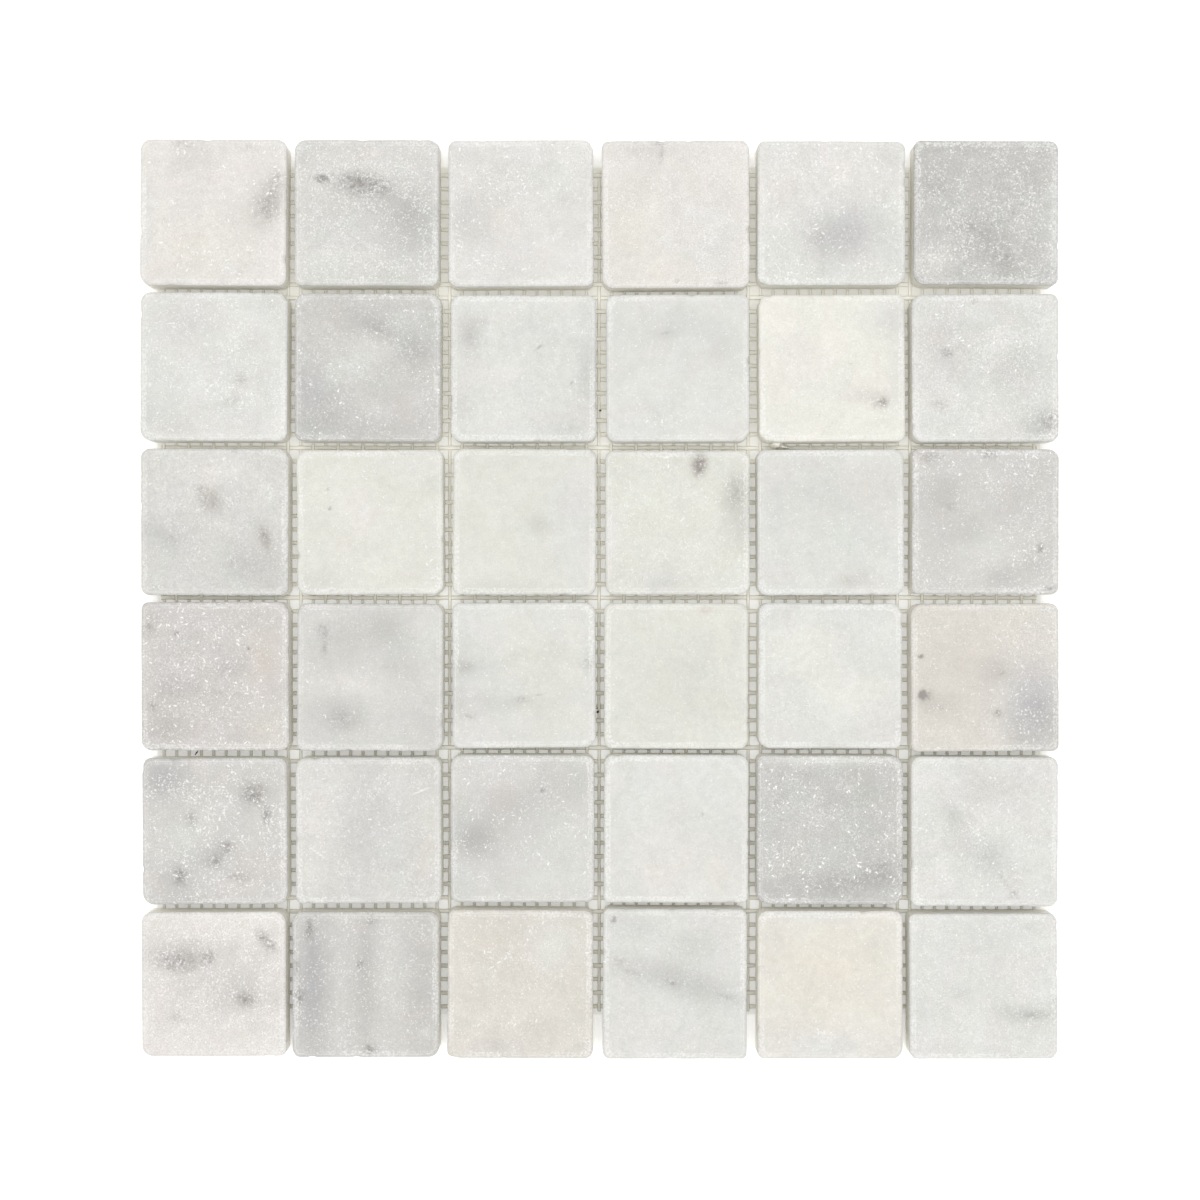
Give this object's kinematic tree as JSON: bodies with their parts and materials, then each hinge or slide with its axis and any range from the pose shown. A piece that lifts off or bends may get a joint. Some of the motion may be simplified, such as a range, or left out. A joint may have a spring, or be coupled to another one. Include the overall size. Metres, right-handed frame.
{
  "type": "mosaic tile sheet",
  "caption": "Square tumbled marble mosaic tiles on an open fibreglass net, one square sheet that is bedded whole and grouted at its joints.",
  "frame": {"origin": "under the middle of the sheet, on the level surface that it lies on", "axes": "+X to the right along a row of tiles, +Y towards the first row, +Z out of the tiles' faces"},
  "size_m": [0.303, 0.303, 0.0106],
  "materials": {
    "marble": "matte",
    "net": "matte"
  },
  "bodies": {
    "root": {"mesh_weft": "net", "mesh_warp": "net", "tile_r1_c1": "marble", "tile_r1_c2": "marble", "tile_r1_c3": "marble", "tile_r1_c4": "marble", "tile_r1_c5": "marble", "tile_r1_c6": "marble", "tile_r2_c1": "marble", "tile_r2_c2": "marble", "tile_r2_c3": "marble", "tile_r2_c4": "marble", "tile_r2_c5": "marble", "tile_r2_c6": "marble", "tile_r3_c1": "marble", "tile_r3_c2": "marble", "tile_r3_c3": "marble", "tile_r3_c4": "marble", "tile_r3_c5": "marble", "tile_r3_c6": "marble", "tile_r4_c1": "marble", "tile_r4_c2": "marble", "tile_r4_c3": "marble", "tile_r4_c4": "marble", "tile_r4_c5": "marble", "tile_r4_c6": "marble", "tile_r5_c1": "marble", "tile_r5_c2": "marble", "tile_r5_c3": "marble", "tile_r5_c4": "marble", "tile_r5_c5": "marble", "tile_r5_c6": "marble", "tile_r6_c1": "marble", "tile_r6_c2": "marble", "tile_r6_c3": "marble", "tile_r6_c4": "marble", "tile_r6_c5": "marble", "tile_r6_c6": "marble"}
  },
  "joints": []
}
